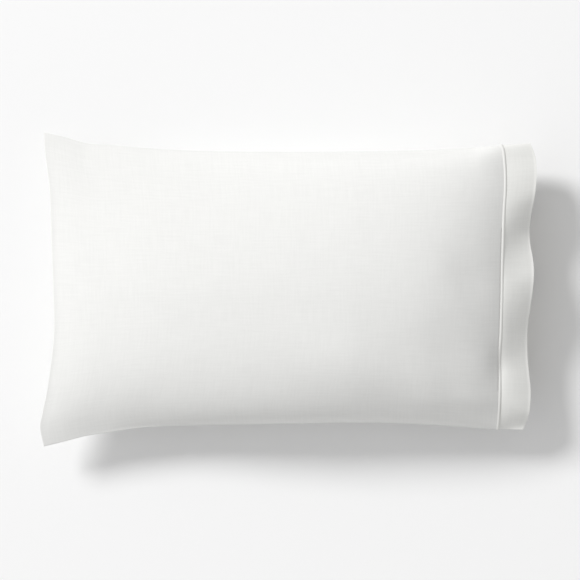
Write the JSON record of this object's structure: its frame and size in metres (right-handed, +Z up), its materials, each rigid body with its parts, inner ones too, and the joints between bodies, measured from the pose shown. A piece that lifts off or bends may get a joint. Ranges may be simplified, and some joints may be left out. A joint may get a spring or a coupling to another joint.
{
  "type": "pillowcase",
  "caption": "Bed pillowcase of plain smooth white cotton, filled and lying flat, with an open wavy hem set on along a fine raised tuck.",
  "frame": {"origin": "on the surface that the case rests on, under the middle of its box", "axes": "+X from the closed end to the open hem, +Y across the case, +Z up from the surface"},
  "size_m": [0.7962, 0.5038, 0.1655],
  "materials": {
    "case_cloth": "matt smooth white percale",
    "hem_cloth": "matt smooth white percale, doubled",
    "tuck_cloth": "matt smooth white percale, folded and stitched"
  },
  "bodies": {
    "root": {"case_body": "case_cloth", "hem_band": "hem_cloth", "hem_tuck": "tuck_cloth"}
  },
  "joints": []
}
